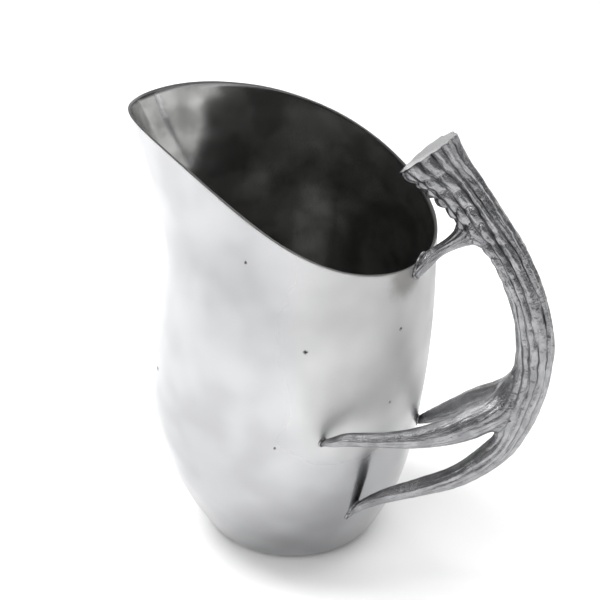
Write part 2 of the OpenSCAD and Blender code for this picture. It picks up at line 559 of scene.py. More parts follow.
class EffectGraph(Graph):
    """A shader node group with named inputs and outputs, shared by several finishes."""

    def __init__(self, name: str, inputs: dict[str, tuple[str, Any]], outputs: dict[str, str]) -> None:
        """Start a group.

        Args:
            name: The group's name.
            inputs: Each input's socket type and first value.
            outputs: Each output's socket type.
        """
        super().__init__(bpy.data.node_groups.new(name, "ShaderNodeTree"))
        for label, (kind, value) in inputs.items():
            socket = self.tree.interface.new_socket(label, in_out="INPUT", socket_type=kind)
            if value is not None:
                socket.default_value = value
        for label, kind in outputs.items():
            self.tree.interface.new_socket(label, in_out="OUTPUT", socket_type=kind)
        self.entry = self.node("NodeGroupInput")
        self.exit = self.node("NodeGroupOutput")

    def read(self, name: str) -> Value:
        """One of the group's inputs."""
        return Value(self, self.entry.outputs[name])

    def give(self, name: str, value: Value) -> None:
        """Set one of the group's outputs."""
        self.feed(self.exit.inputs[name], value)


def polish_marks() -> bpy.types.NodeTree:
    """Cloudy patches and fine lines that a buffing wheel leaves.

    Returns:
        A group from a place, a patch size and a line size to a mask of patches and a height of lines.
    """
    graph = EffectGraph(
        "Polish marks",
        {
            "Place": ("NodeSocketVector", None),
            "Patch Scale": ("NodeSocketFloat", 0.04),
            "Line Scale": ("NodeSocketFloat", 0.6),
        },
        {"Patches": "NodeSocketFloat", "Lines": "NodeSocketFloat"},
    )
    place = graph.read("Place")
    patches = graph.noise(place, graph.read("Patch Scale"), detail=1.4, roughness=0.45)
    stretched = place * BRUSH_STRETCH
    lines = graph.noise(stretched + patches * 3.0, graph.read("Line Scale"), detail=4.0, roughness=0.7)
    graph.give("Patches", smooth(patches * 2.6 - 0.8))
    graph.give("Lines", lines)
    return graph.tree


def casting_pits() -> bpy.types.NodeTree:
    """Rare pinholes that a sand casting keeps through polishing.

    Returns:
        A group from a place, a spacing and a size to a mask that is 1 in a pinhole.
    """
    graph = EffectGraph(
        "Casting pits",
        {
            "Place": ("NodeSocketVector", None),
            "Spacing": ("NodeSocketFloat", 40.0),
            "Size": ("NodeSocketFloat", 0.5),
        },
        {"Pits": "NodeSocketFloat"},
    )
    place, spacing, size = graph.read("Place"), graph.read("Spacing"), graph.read("Size")
    ragged = place + graph.noise(place, 1.1, detail=2.0) * 0.9
    middle = graph.cells(ragged / spacing) * spacing
    graph.give("Pits", smooth(1.6 - middle / size))
    return graph.tree


def antiquing() -> bpy.types.NodeTree:
    """Dark patina left in hollows after the high points are buffed.

    Returns:
        A group from a place and a hollow's depth to a mask of patina and a height of fine grain.
    """
    graph = EffectGraph(
        "Antiquing",
        {
            "Place": ("NodeSocketVector", None),
            "Hollow": ("NodeSocketFloat", 0.0),
            "Amount": ("NodeSocketFloat", 1.0),
            "Grain Scale": ("NodeSocketFloat", 1.4),
        },
        {"Patina": "NodeSocketFloat", "Grain": "NodeSocketFloat"},
    )
    place, hollow = graph.read("Place"), graph.read("Hollow")
    grain = graph.noise(place, graph.read("Grain Scale"), detail=5.0, roughness=0.65)
    blotch = graph.noise(place, BLOTCH_SCALE, detail=2.0)
    edge = hollow * 1.4 + (grain - 0.5) * 0.7 + (blotch - 0.5) * 0.6 - 0.12
    graph.give("Patina", smooth(edge) * graph.read("Amount"))
    graph.give("Grain", grain)
    return graph.tree


class Effects:
    """The shared effects, each built once, for every finish to place with its own values."""

    def __init__(self) -> None:
        """Build every group."""
        self.polish = polish_marks()
        self.pits = casting_pits()
        self.antique = antiquing()


@dataclass(frozen=True)
class DressedWeld:
    """A weld bead, brushed down with a wire wheel."""

    colour: Colour = (0.42, 0.42, 0.43)
    patina: Colour = (0.05, 0.05, 0.053)
    roughness: float = 0.3
    grain_roughness: float = 0.15
    patina_amount: float = 0.8
    grain_scale: float = 2.0
    bump_depth: float = 0.1
    bump_strength: float = 0.6

    def material(self, effects: Effects) -> bpy.types.Material:
        """Build the finish.

        Args:
            effects: The shared effects.

        Returns:
            The material.
        """
        graph = ShaderGraph("dressed weld")
        inputs = {"Place": graph.at, "Hollow": graph.attribute("hollow")}
        inputs |= {"Amount": self.patina_amount, "Grain Scale": self.grain_scale}
        outputs = graph.group(effects.antique, inputs)
        colour = graph.blend(outputs["Patina"], self.colour, self.patina)
        rough = self.roughness + outputs["Grain"] * self.grain_roughness
        return graph.finish(
            Base_Color=colour,
            Metallic=1.0,
            Roughness=rough,
            Normal=graph.bump(outputs["Grain"], self.bump_depth, self.bump_strength),
        )


# ---------------------------------------------------------------------------------------------
# The body
# ---------------------------------------------------------------------------------------------


@dataclass(frozen=True)
class BodyShape:
    """Sizes of the body and the rule for its skin, for plain numbers and node values alike.

    Angles are in radians and run round the body from the handle's side to the spout.
    """

    spout_height: Number = 220.0
    rim_low: Number = 170.5
    rim_lift: Number = 16.0
    rim_crown: Number = 9.5
    base_radius: Number = 41.0
    base_round: Number = 8.0
    belly_reach: Number = 73.0
    neck_reach: Number = 65.5
    spout_reach: Number = 87.5
    back_reach: Number = 70.5
    back_flare: Number = 4.0
    side_reach: Number = 71.5
    mouth_reach: Number = 64.0
    spout_pinch: Number = 0.36
    wall: Number = 3.2
    rim_wall: Number = 2.2
    floor_thick: Number = 4.0
    floor_round: Number = 7.0

    TOP_STATION: ClassVar[float] = 7.0
    SPAN_SHARE: ClassVar[float] = 1.018
    PINCH_START: ClassVar[float] = 2 / 7
    PINCH_RATE: ClassVar[float] = 1.4
    LEVELLING_TURNS: ClassVar[int] = 4

    @property
    def span(self) -> Number:
        """Height of the profiles' highest station."""
        return self.spout_height * self.SPAN_SHARE

    @property
    def lip(self) -> Number:
        """Radius of the rounded lip."""
        return self.rim_wall / 2.0

    def spout_side(self) -> list[Number]:
        """Shape the profile on the spout's side.

        Returns:
            Its control reaches, from the base up.
        """
        base, belly, neck, tip = self.base_radius, self.belly_reach, self.neck_reach, self.spout_reach
        low = [base, mix(base, belly, 0.61), belly, belly]
        return low + [mix(belly, neck, 0.92), neck, mix(neck, tip, 0.5), tip]

    def handle_side(self) -> list[Number]:
        """Shape the profile on the handle's side.

        Returns:
            Its control reaches, from the base up.
        """
        base, back, flare = self.base_radius, self.back_reach, self.back_flare
        low = [mix(base, back, share) for share in (0.0, 0.58, 0.76, 0.9)]
        return low + [back, back, back + flare * 0.375, back + flare]

    def flank(self) -> list[Number]:
        """Shape the profile on either side.

        Returns:
            Its control reaches, from the base up.
        """
        base, side, mouth = self.base_radius, self.side_reach, self.mouth_reach
        low = [base, mix(base, side, 0.6), mix(base, side, 0.92), side]
        return low + [side, mix(side, mouth, 0.5), mouth, mouth]

    def shares(self, z: Number) -> list[Number]:
        """Work out how much each control reach counts at a height.

        Args:
            z: The height.

        Returns:
            The shares, with one more control past either end.
        """
        station = least(largest(z / self.span * self.TOP_STATION, 0.0), self.TOP_STATION)
        result = []
        for index in range(-1, int(self.TOP_STATION) + 2):
            away = Function.ABSOLUTE.of(station - float(index))
            outer = largest(2.0 - away, 0.0)
            inner = largest(1.0 - away, 0.0)
            result.append((outer * outer * outer - inner * inner * inner * 4.0) * (1 / 6))
        return result

    @staticmethod
    def reach(controls: list[Number], shares: list[Number]) -> Number:
        """Work out a profile's reach at a height.

        Args:
            controls: The profile's control reaches.
            shares: How much each counts there.

        Returns:
            The reach.
        """
        ends = [controls[0] * 2.0 - controls[1], *controls, controls[-1] * 2.0 - controls[-2]]
        total = ends[0] * shares[0]
        for control, share in zip(ends[1:], shares[1:]):
            total = total + control * share
        return total

    def rounding(self, z: Number, radius: Number) -> Number:
        """How far an edge of a radius draws a wall in at a height above it."""
        below = least(largest(radius - z, 0.0), radius)
        return radius - Function.SQRT.of(largest(radius * radius - below * below, 0.0))

    def rim(self, angle: Number) -> Number:
        """Work out where the wall ends and its rounded lip begins.

        Args:
            angle: The angle round the body.

        Returns:
            The height.
        """
        u = (1.0 - Function.COSINE.of(angle)) * 0.5
        v = 1.0 - u
        low = self.rim_low * v * v * v + (self.rim_low + self.rim_lift) * 3.0 * u * v * v
        high = (self.spout_height + self.rim_crown) * 3.0 * u * u * v + self.spout_height * u * u * u
        return low + high - self.lip

    def skin(self, angle: Number, z: Number, inset: Number = 0.0) -> tuple[Number, Number, Number]:
        """Find a point of the skin.

        Args:
            angle: Its angle round the body.
            z: Its height.
            inset: How far it is drawn in from the outer skin.

        Returns:
            The point's x, y and z.
        """
        shares = self.shares(z)
        off = self.rounding(z, self.base_round) + inset
        front = self.reach(self.spout_side(), shares) - off
        back = self.reach(self.handle_side(), shares) - off
        side = self.reach(self.flank(), shares) - off
        cosine = Function.COSINE.of(angle)
        u = (1.0 - cosine) * 0.5
        pinch = self.spout_pinch * smooth((z / self.span - self.PINCH_START) * self.PINCH_RATE) * u * u
        return cosine * mix(back, front, smooth(u)), Function.SINE.of(angle) * side * (1.0 - pinch), z

    def thickness(self, angle: Number, z: Number) -> Number:
        """The wall's thickness at an angle and a height."""
        return mix(self.wall, self.rim_wall, smooth(z / self.rim(angle)))

    def outside(self, points: np.ndarray) -> np.ndarray:
        """How far points stand out from the outer skin, level with it.

        Args:
            points: The points.

        Returns:
            The distances, which are negative inside the body.
        """
        x, y, z = points.T
        angle = np.arctan2(y, x)
        for _ in range(self.LEVELLING_TURNS):
            px, py, _z = self.skin(angle, z)
            angle = angle + np.arctan2(y, x) - np.arctan2(py, px)
        px, py, _z = self.skin(angle, z)
        return np.hypot(x, y) - np.hypot(px, py)


@dataclass(frozen=True)
class PolishedCasting:
    """Mirror-polished aluminium with soft polishing clouds, a darker patch round the brow tine's foot and a
    few pinholes, with painted light and shade.

    Each placed pinhole has its angle round the body in degrees, its height and its radius.
    """

    shape: BodyShape = BodyShape()
    # Painted shade: the outside's colour is set well below the inside's, to tone down its reflection of the
    # brightly lit floor.
    colour: Colour = (0.48, 0.483, 0.493)
    # The darker colour of the polishing clouds, and of the painted shade towards the bottom.
    dull: Colour = (0.36, 0.362, 0.37)
    # Painted light: the lighter colour for the lip's crest and for the upper wall on the handle's side.
    lip: Colour = (0.7, 0.7, 0.69)
    inner: Colour = (0.76, 0.76, 0.745)
    inner_dull: Colour = (0.46, 0.46, 0.45)
    inner_film: float = 0.1
    # A darker patch round the brow tine's foot.
    stain: Colour = (0.2, 0.19, 0.18)
    stain_place: Place = (67.0, -17.0, 167.0)
    stain_reach: float = 9.0
    stain_share: float = 0.55
    pit: Colour = (0.04, 0.04, 0.04)
    roughness: float = 0.15
    cloud_roughness: float = 0.24
    inner_roughness: float = 0.15
    haze_roughness: float = 0.42
    cloud_share: float = 0.45
    # Painted shade towards the bottom: its share, the height below which it starts and how far it fades in.
    low_share: float = 0.55
    low_height: float = 150.0
    low_fade: float = 70.0
    # Share of the painted lightening on the upper wall on the handle's side.
    haze_share: float = 0.5
    patch_scale: float = 0.042
    line_scale: float = 0.35
    pit_spacing: float = 34.0
    pit_size: float = 1.1
    pit_edge: float = 1.6
    pit_roughness: float = 0.4
    crest_roughness: float = 0.35
    mottle_scale: float = 0.05
    stain_scale: float = 0.12
    bump_depth: float = 0.1
    bump_strength: float = 0.25
    pinholes: tuple[tuple[float, float, float], ...] = (
        (-85.0, 181.0, 0.7),
        (-59.0, 140.0, 0.95),
        (-17.0, 140.0, 0.9),
        (-70.0, 87.0, 0.7),
    )

    def material(self, effects: Effects) -> bpy.types.Material:
        """Build the finish.

        Args:
            effects: The shared effects.

        Returns:
            The material.
        """
        graph = ShaderGraph("polished casting")
        marks = graph.group(
            effects.polish,
            {"Place": graph.at, "Patch Scale": self.patch_scale, "Line Scale": self.line_scale},
        )
        cloud, inside = marks["Patches"], graph.attribute("inside")
        pits = self.pit_mask(graph, effects)
        x, _, z = graph.at.parts()
        # Painted light: the upper wall on the handle's side is blended lighter, towards the lip colour, as
        # well as made hazier.
        haze_and_sheen = smooth(x * (1 / 40.0) - 0.4) * smooth(z * (1 / 30.0) - 2.2)
        # Painted shade: low grows towards the bottom, where the wall is blended towards the darker colour.
        low = smooth((self.low_height - z) / self.low_fade)
        metal = graph.blend(cloud * self.cloud_share + low * self.low_share, self.colour, self.dull)
        metal = graph.blend(haze_and_sheen * self.haze_share, metal, self.lip)
        # Darker round the brow tine's foot.
        metal = graph.blend(self.stain_mask(graph), metal, self.stain)
        mottle = smooth(graph.noise(graph.at, self.mottle_scale, detail=3.0) * 4.0 - 1.5)
        metal = graph.blend(inside, metal, graph.blend(mottle, self.inner, self.inner_dull))
        # Painted highlight: the lip's crest is blended to the lighter lip colour.
        crest = smooth(graph.attribute("crest") * 2.0)
        metal = graph.blend(crest, metal, self.lip)
        colour = graph.blend(pits, metal, self.pit)
        outer = mix(self.roughness, self.cloud_roughness, cloud) + haze_and_sheen * self.haze_roughness
        rough = mix(outer, self.inner_roughness, inside)
        rough = rough + pits * self.pit_roughness + crest * self.crest_roughness
        height = marks["Lines"] * 0.12 - pits * 3.0
        return graph.finish(
            Base_Color=colour,
            Metallic=1.0 - inside * self.inner_film,
            Roughness=rough,
            Normal=graph.bump(height, self.bump_depth, self.bump_strength),
        )

    def pit_mask(self, graph: ShaderGraph, effects: Effects) -> Value:
        """Mark the random pinholes and the placed ones.

        Args:
            graph: The material's tree.
            effects: The shared effects.

        Returns:
            A mask that is 1 in a pinhole.
        """
        inputs = {"Place": graph.at, "Spacing": self.pit_spacing, "Size": self.pit_size}
        pits = graph.group(effects.pits, inputs)["Pits"]
        for angle, height, size in self.pinholes:
            middle = tuple(float(part) for part in self.shape.skin(math.radians(angle), height))
            ragged = graph.at + (graph.noise(graph.at, 0.9, detail=2.0) - 0.5) * self.pit_edge
            pits = largest(pits, smooth(1.5 - (ragged - middle).size() / size))
        return pits

    def stain_mask(self, graph: ShaderGraph) -> Value:
        """Mark a darker patch round the brow tine's foot.

        Args:
            graph: The material's tree.

        Returns:
            A mask that is strongest at the patch's middle.
        """
        away = (graph.at - self.stain_place).size() * (1 / self.stain_reach)
        uneven = (graph.noise(graph.at, self.stain_scale) - 0.5) * 0.8
        return smooth(1.6 - away - uneven) * self.stain_share


@dataclass
class PitcherBody:
    """The body: one casting, raised from its rule as rings, then made slightly wavy by hand polishing."""

    shape: BodyShape
    columns: int = 272
    base_rows: int = 6
    edge_rows: int = 8
    wall_rows: int = 160
    lip_rows: int = 8
    inner_rows: int = 124
    wave_size: float = 27.0
    wave_depth: float = 0.62
    ripple_size: float = 11.0
    ripple_depth: float = 0.08
    still_height: float = 12.0
    weld_distance: float = 0.02

    @property
    def stretches(self) -> tuple[int, ...]:
        """Rows of rings in the base, its edge, the wall, the lip, the inside, its corner and the floor."""
        edge, base = self.edge_rows, self.base_rows
        return base, edge, self.wall_rows, self.lip_rows, self.inner_rows, edge, base

    @staticmethod
    def ring(shape: BodyShape, angle: Value, shares: list[Value]) -> tuple[Value, Value, Value]:
        """The rule for a ring's point, in order from the base's centre over the lip to the floor's.

        Args:
            shape: The sizes, as values in the tree.
            angle: The angle round the body.
            shares: How far along each stretch the ring lies.

        Returns:
            The point in millimetres, 1 on the inside or 0 on the outside, and the lip's crest.
        """
        base, edge, wall, lip, inner, corner, floor = shares
        quarter, graph = math.pi / 2, angle.graph
        rim = shape.rim(angle)
        turned = Function.COSINE.of(lip * math.pi)
        dip = Function.SINE.of(corner * quarter)
        z = shape.base_round * (1.0 - Function.COSINE.of(edge * quarter)) + (rim - shape.base_round) * wall
        crest = Function.SINE.of(lip * math.pi)
        z = z + shape.lip * crest
        z = z - (rim - shape.floor_thick - shape.floor_round) * inner - shape.floor_round * dip
        inside = inner.combine("GREATER_THAN", 0.0)
        inset = shape.lip * (1.0 - turned) + (shape.thickness(angle, z) - shape.rim_wall) * inside
        inset = inset + shape.rounding(shape.floor_round * (1.0 - dip), shape.floor_round) * inside
        x, y, z = shape.skin(angle, z, inset)
        spread = base * (1.0 - floor)
        return graph.vector(x * spread, y * spread, z), inside, crest

    def tree(self, material: bpy.types.Material) -> GeometryGraph:
        """Build the Geometry Nodes tree.

        Args:
            material: The finish.

        Returns:
            The tree.
        """
        graph = GeometryGraph("Pitcher body")
        sizes = graph.sizes(self.shape)
        wave_size = graph.input("Wave Size", self.wave_size)
        wave_depth = graph.input("Wave Depth", self.wave_depth)
        ripple_size = graph.input("Ripple Size", self.ripple_size)
        ripple_depth = graph.input("Ripple Depth", self.ripple_depth)
        columns = graph.input("Columns", self.columns, "NodeSocketInt")

        total = sum(self.stretches)
        grid = graph.value(
            "GeometryNodeMeshGrid",
            {"Size X": 1.0, "Size Y": 1.0, "Vertices X": columns + 1.0, "Vertices Y": total + 1},
        )
        u, v, _ = (graph.position() + 0.5).parts()
        shares, start = [], 0
        for rows in self.stretches:
            shares.append(least(largest((v * total - float(start)) / rows, 0.0), 1.0))
            start += rows
        point, inside, crest = self.ring(BodyShape(**sizes), u * TURN, shares)
        shell = graph.store(grid, "inside", inside)
        shell = graph.store(shell, "crest", crest)
        shell = graph.place(shell, point * MM)
        inputs = {"Geometry": shell, "Distance": self.weld_distance * MM}
        shell = graph.value("GeometryNodeMergeByDistance", inputs)

        at = graph.position() * (1 / MM)
        wave = graph.noise(at / wave_size, 1.0, detail=1.0) - 1.0
        ripple = graph.noise(at / ripple_size, 1.0, detail=1.0) - 1.0
        depth = (wave * wave_depth + ripple * ripple_depth) * smooth(at.parts()[2] * (1 / self.still_height))
        graph.end(graph.shift(shell, graph.normal() * depth * MM), material)
        return graph

    def build(self, material: bpy.types.Material) -> bpy.types.Object:
        """Make the body and put it in place of its CAD solid.

        Args:
            material: The finish.

        Returns:
            The piece.
        """
        seed = line_object("body seed", [Polyline(np.zeros((2, 3)))])
        piece = self.tree(material).bake(seed, "polished_body")
        drop(seed)
        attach(piece, BODY)
        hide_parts("pitcher_body")
        return piece


# ---------------------------------------------------------------------------------------------
# The antler
# ---------------------------------------------------------------------------------------------


class TineName(Enum):
    """The antler's branches."""

    BEAM = "beam"
    FRONT = "front"
    REAR = "rear"
    BROW = "brow"


@dataclass(frozen=True)
class Tine:
    """One branch: its route, its half thicknesses and how deep its grooves are."""

    points: np.ndarray
    start: float
    depths: tuple[float, ...]
    overrun: float = 3.0
    taper: float = 0.7

    def route(self, steps: int = 12) -> np.ndarray:
        """A smooth route through the points.

        Args:
            steps: Steps between two points.

        Returns:
            Rows of x, y, z and the half thickness in the handle's plane and across it.
        """
        ends = [2 * self.points[0] - self.points[1], *self.points, 2 * self.points[-1] - self.points[-2]]
        rows = []
        for a, b, c, d in zip(ends, ends[1:], ends[2:], ends[3:]):
            for step in range(steps):
                t = step / steps
                slope, bend = (c - a) * t, (2 * a - 5 * b + 4 * c - d) * t**2
                rows.append((2 * b + slope + bend + (3 * b - a - 3 * c + d) * t**3) / 2)
        last = self.points[-1]
        ahead = last[:3] - rows[-1][:3]
        tail = last.copy()
        tail[:3] += ahead / np.linalg.norm(ahead) * self.overrun
        tail[3:] *= self.taper
        return np.array([*rows, last, tail])

    def polyline(self) -> Polyline:
        """Ready the route for sweeping.

        Returns:
            The route, with each point's half thicknesses, its place along the antler and its grooves' depth.
        """
        rows = self.route()
        steps = np.linalg.norm(np.diff(rows[:, :3], axis=0), axis=1)
        length = np.concatenate([[0.0], np.cumsum(steps)])
        depth = np.interp(length / length[-1], np.linspace(0, 1, len(self.depths)), self.depths)
        values = {"thick": rows[:, 3], "wide": rows[:, 4], "along": self.start + length, "depth": depth}
        return Polyline(rows[:, :3], values)


@dataclass(frozen=True)
class AntlerShape:
    """Sizes of the antler and where it meets the body."""

    body: BodyShape
    grip_gap: float = 56.3
    grip_height: float = 129.0
    grip_radius: float = 10.0
    burr_rise: float = 54.0
    burr_overhang: float = 0.5
    burr_lean: float = 3.0
    burr_radius: float = 18.5
    fork_drop: float = 7.5
    fork_inset: float = 2.5
    brow_root_gap: float = 27.0
    brow_root_rise: float = 26.0
    brow_angle: float = -8.0
    brow_drop: float = 5.0
    front_angle: float = -51.0
    front_height: float = 88.0
    rear_angle: float = 21.0
    rear_height: float = 60.0
    lower_angle: float = -35.0
    lower_height: float = 34.0
    front_radius: float = 9.0
    rear_radius: float = 6.8
    brow_radius: float = 8.5
    brow_foot_radius: float = 3.2
    foot_radius: float = 1.4
    foot_bite: float = 1.2

    def foot(self, angle: float, height: float) -> np.ndarray:
        """Where a tine's route ends, a little inside the wall."""
        return np.array(self.body.skin(math.radians(angle), height, self.foot_bite), float)

    @property
    def grip(self) -> np.ndarray:
        """The grip's middle."""
        return np.array([self.body.back_reach + self.grip_gap, 0.0, self.grip_height])

    @property
    def burr(self) -> np.ndarray:
        """The middle of the sawn face."""
        out = self.body.back_reach - self.burr_overhang
        return np.array([out, -self.burr_lean, self.body.rim_low + self.burr_rise])

    @property
    def fork(self) -> np.ndarray:
        """The root of the front and rear tines."""
        return self.grip - [self.fork_inset, 0.0, self.fork_drop]

    @property
    def brow_root(self) -> np.ndarray:
        """The root of the brow tine."""
        out = self.body.back_reach + self.brow_root_gap
        return np.array([out, 0.0, self.body.rim_low + self.brow_root_rise])

    @property
    def brow_height(self) -> float:
        """Height of the brow tine's foot."""
        return float(self.body.rim(math.radians(self.brow_angle))) - self.brow_drop

    @staticmethod
    def stretch(start: np.ndarray, end: np.ndarray, first: float, last: float, rows: list) -> np.ndarray:
        """Points of a branch from their shares.

        Args:
            start: The stretch's first end.
            end: Its last end.
            first: Half thickness at the first end.
            last: Half thickness at the last end.
            rows: Shares of the way in x, y and z, then of the change in either half thickness.

        Returns:
            Rows of x, y, z and two half thicknesses.
        """
        shares = np.array(rows, float)
        places = start + (end - start) * shares[:, :3]
        return np.hstack([places, first + (last - first) * shares[:, 3:]])

    def tines(self) -> dict[TineName, Tine]:
        """Lay out every branch of the antler.

        Returns:
            The branches by name.
        """
        lower = self.foot(self.lower_angle, self.lower_height)
        front = self.foot(self.front_angle, self.front_height)
        rear = self.foot(self.rear_angle, self.rear_height)
        brow = self.foot(self.brow_angle, self.brow_height)
        upper_beam = self.stretch(self.burr, self.grip, self.burr_radius, self.grip_radius, [
            [0, 0, 0, 0, 0.47],
            [0.09, 0.5, 0.06, 0.33, 0.59],
            [0.19, 0.8, 0.125, 0.53, 0.76],
            [0.38, 1, 0.235, 0.74, 0.88],
            [0.71, 1, 0.45, 1.06, 1.06],
            [0.93, 1, 0.72, 1.1, 1.12],
            [1, 1, 1, 1, 1.06],
        ])
        lower_beam = self.stretch(self.grip, lower, self.grip_radius, self.foot_radius, [
            [0.04, 0.12, 0.28, 0.06, 0.06],
            [0.115, 0.24, 0.473, 0.3, 0.3],
            [0.24, 0.4, 0.6, 0.4, 0.4],
            [0.39, 0.545, 0.7, 0.51, 0.51],
            [0.56, 0.7, 0.765, 0.6, 0.6],
            [0.75, 0.88, 0.83, 0.71, 0.71],
            [0.885, 0.98, 0.9, 0.83, 0.83],
            [1, 1, 1, 1, 1],
        ])
        front_rows = self.stretch(self.fork, front, self.front_radius, self.foot_radius, [
            [0, 0, 0, 0.26, 0.26],
            [0.1, 0.13, 0.53, 0, 0.2],
            [0.28, 0.385, 0.77, 0.13, 0.33],
            [0.45, 0.655, 0.82, 0.41, 0.5],
            [0.61, 0.855, 0.8, 0.63, 0.63],
            [0.81, 1.02, 0.78, 0.72, 0.72],
            [0.905, 1.05, 0.86, 0.82, 0.82],
            [1, 1, 1, 1, 1],
        ])
        rear_rows = self.stretch(self.fork, rear, self.rear_radius, self.foot_radius, [
            [0, 0, 0, 0.06, 0.06],
            [0.16, 0.16, 0.235, 0, 0.06],
            [0.5, 0.52, 0.55, 0.2, 0.24],
            [0.82, 0.84, 0.85, 0.52, 0.52],
            [1, 1, 1, 0.9, 0.9],
        ])
        brow_rows = self.stretch(self.brow_root, brow, self.brow_radius, self.brow_foot_radius, [
            [0, 0, 0, 0, 0.09],
            [0.22, 0.02, 0.28, 0.2, 0.26],
            [0.46, 0.2, 0.47, 0.68, 0.61],
            [0.7, 0.5, 0.64, 0.84, 0.75],
            [0.88, 0.83, 0.83, 0.88, 0.75],
            [1, 1, 1, 1, 0.82],
        ])
        beam_rows = np.vstack([upper_beam, lower_beam])
        return {
            TineName.BEAM: Tine(beam_rows, 0.0, (2.8, 2.5, 1.8, 1.3, 0.8, 0.4, 0.15)),
            TineName.FRONT: Tine(front_rows, 120.0, (0.45, 0.3, 0.2, 0.1)),
            TineName.REAR: Tine(rear_rows, 160.0, (0.5, 0.5, 0.4, 0.1)),
            TineName.BROW: Tine(brow_rows, 70.0, (1.0, 0.7, 0.5, 0.2), overrun=0.8),
        }


@dataclass(frozen=True)
class AntlerRelief:
    """The rule for the antler's relief, shared by its mesh and its finish."""

    rows_round: Number = 12.0
    bead_length: Number = 8.5
    bead_reach: Number = 100.0
    wander: Number = 0.8

    DOME_POWER: ClassVar[float] = 2.3
    WANDER_LENGTH: ClassVar[float] = 38.0
    BEAD_FADE: ClassVar[float] = 70.0
    BEAD_SHARE: ClassVar[float] = 0.75
    TWIN_SHARE: ClassVar[float] = 0.16
    GRAIN_ROUND: ClassVar[float] = 4.4
    GRAIN_LENGTH: ClassVar[float] = 15.0

    def dome(self, part: Value) -> Value:
        """A rounded hump from 0 at either end of a part to 1 in its middle."""
        away = Function.ABSOLUTE.of(part * 2.0 - 1.0)
        return 1.0 - away.combine("POWER", self.DOME_POWER)

    def humps(self, along: Value, around: Value) -> Value:
        """How high a place lies on the rows of beads, from 0 in a furrow to 1 on a crest.

        Args:
            along: How far along the branch it is, in millimetres.
            around: Its place on the unit circle round the branch.

        Returns:
            The height.
        """
        graph = along.graph
        out_a, out_b, _ = around.parts()
        lie = around * 0.8 + graph.vector(0.0, 0.0, along / self.WANDER_LENGTH)
        row = out_b.combine("ARCTAN2", out_a) * self.rows_round / TURN
        row = row + (graph.noise(lie, 1.0, detail=0.0) - 0.5) * self.wander * 2.0
        row = row + (graph.noise(lie, 3.8, detail=1.0) - 0.5) * self.wander * 0.8
        index = row.combine("FLOOR")
        turn = index.combine("FLOORED_MODULO", self.rows_round)
        luck = graph.value("ShaderNodeTexWhiteNoise", {"W": turn}, noise_dimensions="1D")
        uneven = (graph.noise(lie, 2.4) - 0.5) * 1.1
        run = along / self.bead_length / (0.75 + luck * 0.5) + luck * 9.0 + uneven
        pearl = self.dome(run - run.combine("FLOOR"))
        beaded = smooth((self.bead_reach - along) / self.BEAD_FADE) * smooth((0.85 - out_a) * 1.8)
        twin = row * 2.0 + (graph.noise(lie, 5.0, detail=1.0) - 0.5) * self.wander + 0.35
        broad = self.dome(row - index) * mix(1.0, pearl, beaded * self.BEAD_SHARE)
        fine = self.dome(twin - twin.combine("FLOOR"))
        return broad * (1.0 - self.TWIN_SHARE) + fine * self.TWIN_SHARE

    def grain(self, along: Value, around: Value) -> Value:
        """Fine lines that run along the branch, as a signed height of about one."""
        lie = around * self.GRAIN_ROUND + along.graph.vector(0.0, 0.0, along / self.GRAIN_LENGTH)
        return along.graph.noise(lie, 1.0, detail=3.0, roughness=0.6) * 2.0 - 1.0


@dataclass(frozen=True)
class AntiquedCasting:
    """Cast aluminium antler: buffed ridges, dark patina in the grooves, painted shade where the tines face
    the wall and a paler sawn face.
    """

    relief: AntlerRelief = AntlerRelief()
    ridge: Colour = (0.36, 0.36, 0.37)
    flank: Colour = (0.25, 0.25, 0.26)
    patina: Colour = (0.05, 0.05, 0.053)
    shine: float = 0.9
    sawn: Colour = (0.5, 0.5, 0.51)
    roughness: float = 0.14
    patina_roughness: float = 0.5
    patch_scale: float = 0.16
    line_scale: float = 1.2
    grain_scale: float = 0.9
    grain_roughness: float = 0.1
    wear_scale: float = 0.07
    streak_scale: float = 0.09
    streak_share: float = 0.6
    bump_depth: float = 0.45
    bump_strength: float = 0.8
    pit_spacing: float = 22.0
    pit_size: float = 0.55

    def material(self, effects: Effects) -> bpy.types.Material:
        """Build the finish.

        Args:
            effects: The shared effects.

        Returns:
            The material.
        """
        graph = ShaderGraph("antiqued casting")
        along, depth, sawn = graph.attribute("along"), graph.attribute("depth"), graph.attribute("sawn")
        around = graph.attribute("round", "Vector")
        humps, lines = self.relief.humps(along, around), self.relief.grain(along, around)
        patchy = mix(0.5, 1.0, smooth(graph.noise(graph.at, self.wear_scale) * 5.0 - 2.0))
        furrow = smooth((0.56 - humps) * 2.2) * least(depth * 0.5, 1.0) * patchy
        streak = smooth(lines * -4.0 - 1.1) * smooth(graph.noise(graph.at, self.streak_scale) * 5.0 - 2.2)
        hollow = largest(furrow, streak * self.streak_share) * (1.0 - sawn)
        outputs = graph.group(
            effects.antique,
            {"Place": graph.at, "Hollow": hollow, "Amount": 1.0, "Grain Scale": self.grain_scale},
        )
        marks = graph.group(
            effects.polish,
            {"Place": graph.at, "Patch Scale": self.patch_scale, "Line Scale": self.line_scale},
        )
        inputs = {"Place": graph.at, "Spacing": self.pit_spacing, "Size": self.pit_size}
        pits = graph.group(effects.pits, inputs)["Pits"]
        # Painted shade where the tines face the wall is joined to the patina and pits.
        patina = largest(largest(outputs["Patina"], pits), graph.attribute("hidden")) * (1.0 - sawn * 0.75)
        metal = graph.blend(marks["Patches"], self.flank, self.ridge)
        face = graph.blend(sawn, metal, self.sawn)
        colour = graph.blend(patina, face, self.patina)
        rough = mix(self.roughness, self.patina_roughness, patina) + outputs["Grain"] * self.grain_roughness
        height = (outputs["Grain"] + lines * 0.7) * (1.0 - sawn * 0.8) - pits
        return graph.finish(
            Base_Color=colour,
            Metallic=self.shine,
            Roughness=rough,
            Normal=graph.bump(height, self.bump_depth, self.bump_strength),
        )


